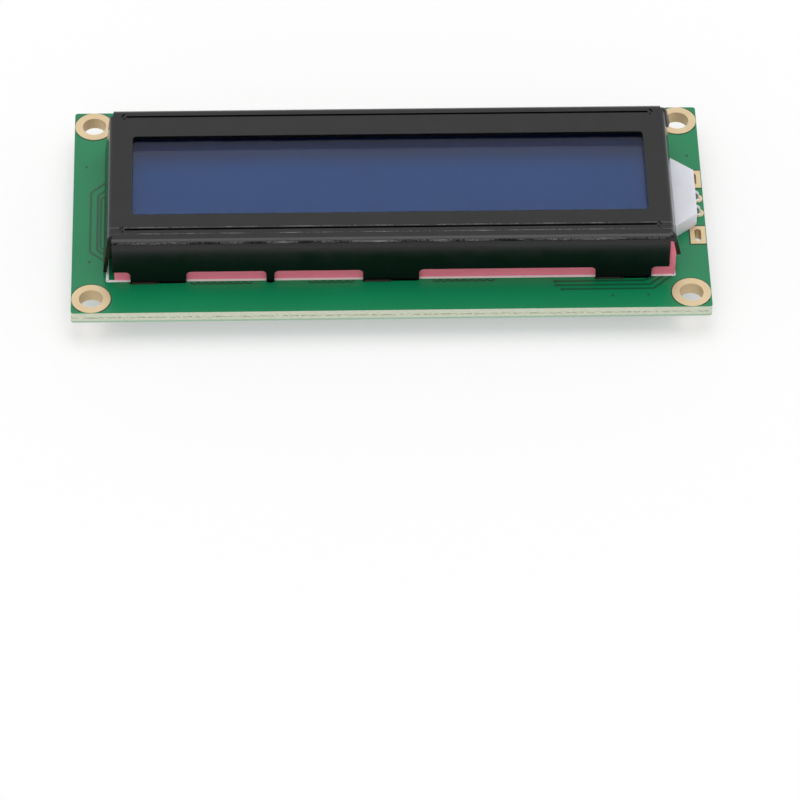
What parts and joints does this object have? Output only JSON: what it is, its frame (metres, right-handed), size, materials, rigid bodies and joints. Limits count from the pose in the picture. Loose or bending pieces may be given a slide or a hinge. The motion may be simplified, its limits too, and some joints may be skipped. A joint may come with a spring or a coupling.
{
  "type": "character lcd module",
  "caption": "Flat rectangular character display: black steel bezel with a blue window on a green circuit board, with a single-row header and a hole at each corner.",
  "frame": {"origin": "under the centre of the board, on the plane of the tips of the bezel's six twisted tabs, on which the module rests", "axes": "+X along the board's length, to the right as the display is read; +Y towards the edge with the header holes; +Z out of the display"},
  "size_m": [0.08, 0.036, 0.0113],
  "materials": {
    "board": "green solder mask over fibreglass board, semi-gloss",
    "bezel": "stamped steel, black satin paint",
    "polariser": "blue display film, glossy",
    "glass": "clear float glass",
    "seal": "cured sealant",
    "pink_silicone": "pink silicone, matte",
    "carbon_silicone": "layered conductive silicone",
    "light_guide": "white-wrapped acrylic",
    "film": "white film",
    "lamp": "moulded lamp body",
    "tinned_wire": "tinned wire",
    "gold": "thin matte gold over copper",
    "epoxy": "black chip-coating epoxy, satin",
    "silicon": "polished silicon",
    "resistor": "black film over white ceramic, tinned ends",
    "solder": "bright solder"
  },
  "bodies": {
    "root": {"circuit_board": "board", "bezel": "bezel", "front_polariser": "polariser", "front_glass": "glass", "cell_seal": "seal", "rear_glass": "glass", "rear_polariser": "polariser", "zebra_pad_near": "pink_silicone", "zebra_pad_far": "pink_silicone", "zebra_core_near": "carbon_silicone", "zebra_core_far": "carbon_silicone", "light_guide": "light_guide", "diffuser_sheet": "film", "reflector_sheet": "film", "lamp": "lamp", "lamp_leads": "tinned_wire", "lamp_solder": "solder", "lead_pads": "gold", "lamp_pads": "gold", "mounting_eyelets": "gold", "header_pads": "gold", "tab_pads": "gold", "dome_controller": "epoxy", "dome_driver": "epoxy", "die_controller": "silicon", "die_driver": "silicon", "resistor_1": "resistor", "resistor_2": "resistor", "resistor_3": "resistor", "resistor_4": "resistor", "resistor_5": "resistor", "resistor_6": "resistor", "resistor_8": "resistor", "resistor_f": "resistor", "resistor_solder": "solder", "spare_pads": "gold", "jumper_pads": "gold", "jumper_solder": "solder"}
  },
  "joints": []
}
